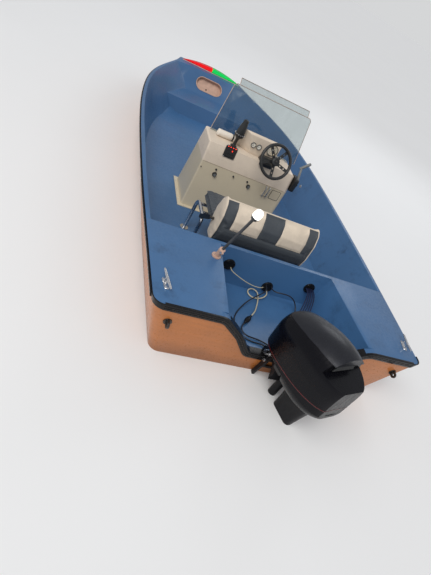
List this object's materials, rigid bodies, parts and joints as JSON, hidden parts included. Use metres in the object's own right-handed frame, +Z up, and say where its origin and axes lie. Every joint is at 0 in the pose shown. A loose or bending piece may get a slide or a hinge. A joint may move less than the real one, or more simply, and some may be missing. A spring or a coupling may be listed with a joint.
{
  "type": "open outboard motorboat",
  "caption": "Open motorboat afloat with a decked stern well, tilting outboard motor, side console with windscreen, bench seat and bow pocket.",
  "frame": {"origin": "on the centreline at the waterline, directly below the middle of the transom's top edge", "axes": "+X forward along the hull, +Y to port, +Z up"},
  "size_m": [4.8613, 1.9434, 1.6233],
  "materials": {
    "hull_orange": "gloss gelcoat",
    "interior_blue": "gloss gelcoat",
    "rubber_black": "matt",
    "fitting_steel": "polished",
    "pocket_tan": "satin",
    "light_base": "gloss",
    "lens_red": "clear red",
    "lens_green": "clear green",
    "lens_white": "frosted",
    "console_cream": "gloss gelcoat",
    "control_black": "satin",
    "control_grey": "satin",
    "screen_clear": "clear",
    "seat_cream": "soft vinyl",
    "seat_grey": "soft vinyl",
    "towel_cream": "soft",
    "motor_black": "gloss",
    "motor_lid": "metallic gloss",
    "motor_cast": "satin",
    "engine_metal": "rough",
    "propeller_metal": "satin paint",
    "cable_black": "satin",
    "cable_blue": "satin",
    "hose_pale": "satin"
  },
  "bodies": {
    "boat": {"hull_skin": "hull_orange", "cockpit_liner": "interior_blue", "aft_deck": "interior_blue", "bow_pocket_tray": "pocket_tan", "rub_rail": "rubber_black", "transom_edging": "rubber_black", "cable_glands": "rubber_black", "cleats": "fitting_steel", "bow_eye": "fitting_steel", "stern_eyes": "fitting_steel", "bow_light_base": "light_base", "bow_lens_port": "lens_red", "bow_lens_starboard": "lens_green", "pole_socket": "light_base", "light_pole": "fitting_steel", "pole_lamp": "lens_white", "console": "console_cream", "switch_panel": "control_black", "console_knobs": "control_black", "instrument_pod": "control_black", "gauges": "control_grey", "compass": "control_black", "console_roll": "towel_cream", "windscreen": "screen_clear", "screen_brackets": "fitting_steel", "helm": "control_black", "throttle_box": "control_black", "throttle_lever": "control_black", "seat_frame": "fitting_steel", "seat_arms": "fitting_steel", "seat_cushion": "seat_cream", "seat_backrest": "seat_grey", "clamp_bracket": "motor_cast", "tilt_tube": "fitting_steel", "control_cables": "cable_blue", "battery_cables": "cable_black", "fuel_hose": "hose_pale", "primer_bulb": "rubber_black", "gland_wire": "hose_pale", "rigging_clamp": "control_black"},
    "steering_wheel_body": {"steering_wheel": "control_black"},
    "tilt_body": {"swivel_bracket": "motor_cast"},
    "motor_body": {"cowl": "motor_black", "cowl_lid": "motor_lid", "lower_pan": "motor_black", "engine_block": "engine_metal", "midsection": "motor_cast", "gearcase": "motor_cast"},
    "propeller_body": {"propeller": "propeller_metal"}
  },
  "joints": [
    {"name": "motor_tilt", "type": "hinge", "parent": "boat", "child": "tilt_body", "pos_m": [0.01, 0, 0.23], "axis": [0, 1, 0], "range_deg": [0, 60]},
    {"name": "motor_steer", "type": "hinge", "parent": "tilt_body", "child": "motor_body", "pos_m": [-0.088, 0, 0], "axis": [0, 0, 1], "range_deg": [-52, 18]},
    {"name": "propeller_spin", "type": "hinge", "parent": "motor_body", "child": "propeller_body", "pos_m": [-0.40387, -0.09657, -0.395], "axis": [0.9563, 0.2924, 0], "continuous": true},
    {"name": "steering_wheel_turn", "type": "hinge", "parent": "boat", "child": "steering_wheel_body", "pos_m": [1.53, -0.02, 0.722], "axis": [0.866, 0, -0.5], "range_deg": [-936, 324]}
  ],
  "couplings": [
    {"joint": "steering_wheel_turn", "follows": "motor_steer", "ratio": 18}
  ]
}
